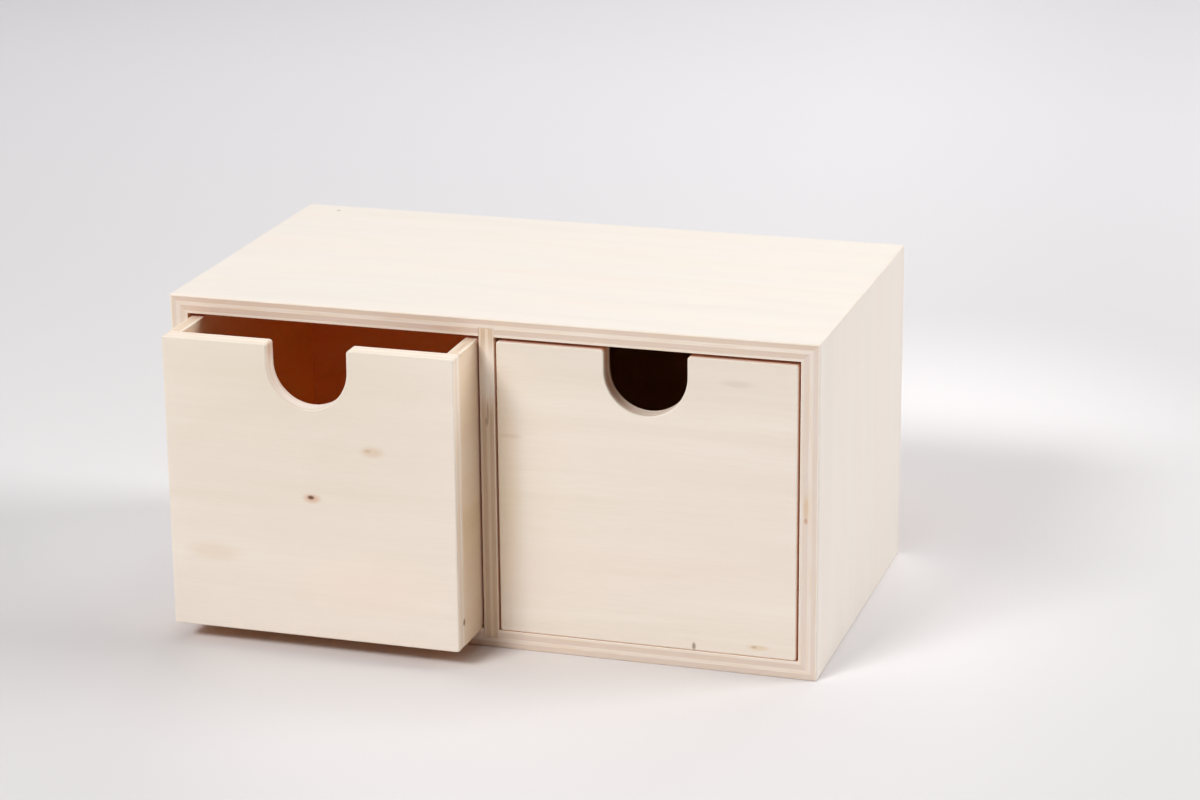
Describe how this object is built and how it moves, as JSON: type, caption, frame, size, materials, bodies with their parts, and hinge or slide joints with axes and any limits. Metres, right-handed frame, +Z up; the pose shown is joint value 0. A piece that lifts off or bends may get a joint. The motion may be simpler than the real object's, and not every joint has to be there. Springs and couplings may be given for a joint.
{
  "type": "drawer box",
  "caption": "Small free-standing plywood chest of drawers with mitred corners, a housed divider and inset drawers pulled by U-shaped finger notches.",
  "frame": {"origin": "centre of the carcass's flat base, where the chest rests", "axes": "+X to the right as seen from the drawers' side, +Y away from the drawers towards the back, +Z up"},
  "size_m": [0.3, 0.201, 0.154],
  "materials": {
    "ply_carcass": "bare sanded basswood plywood",
    "ply_drawer": "bare sanded basswood plywood",
    "ply_thin": "bare thin basswood plywood",
    "brad_steel": "bright drawn wire"
  },
  "bodies": {
    "carcass": {"top_panel": "ply_carcass", "bottom_panel": "ply_carcass", "left_side": "ply_carcass", "right_side": "ply_carcass", "centre_divider": "ply_carcass", "back_panel": "ply_thin", "back_brad_bottom_1": "brad_steel", "back_brad_bottom_2": "brad_steel", "back_brad_bottom_3": "brad_steel", "back_brad_bottom_4": "brad_steel", "back_brad_top_1": "brad_steel", "back_brad_top_2": "brad_steel", "back_brad_top_3": "brad_steel", "back_brad_top_4": "brad_steel", "back_brad_left_1": "brad_steel", "back_brad_left_2": "brad_steel", "back_brad_right_1": "brad_steel", "back_brad_right_2": "brad_steel"},
    "left_drawer": {"left_drawer_front": "ply_drawer", "left_drawer_side_left": "ply_drawer", "left_drawer_side_right": "ply_drawer", "left_drawer_back": "ply_drawer", "left_drawer_bottom": "ply_thin", "left_drawer_brad_left_1": "brad_steel", "left_drawer_brad_left_2": "brad_steel", "left_drawer_brad_right_1": "brad_steel", "left_drawer_brad_right_2": "brad_steel"},
    "right_drawer": {"right_drawer_front": "ply_drawer", "right_drawer_side_left": "ply_drawer", "right_drawer_side_right": "ply_drawer", "right_drawer_back": "ply_drawer", "right_drawer_bottom": "ply_thin", "right_drawer_brad_left_1": "brad_steel", "right_drawer_brad_left_2": "brad_steel", "right_drawer_brad_right_1": "brad_steel", "right_drawer_brad_right_2": "brad_steel"}
  },
  "joints": [
    {"name": "left_drawer_slide", "type": "slide", "parent": "carcass", "child": "left_drawer", "axis": [0, -1, 0], "range_m": [-0.031, 0.099]},
    {"name": "right_drawer_slide", "type": "slide", "parent": "carcass", "child": "right_drawer", "axis": [0, -1, 0], "range_m": [0, 0.13]}
  ]
}
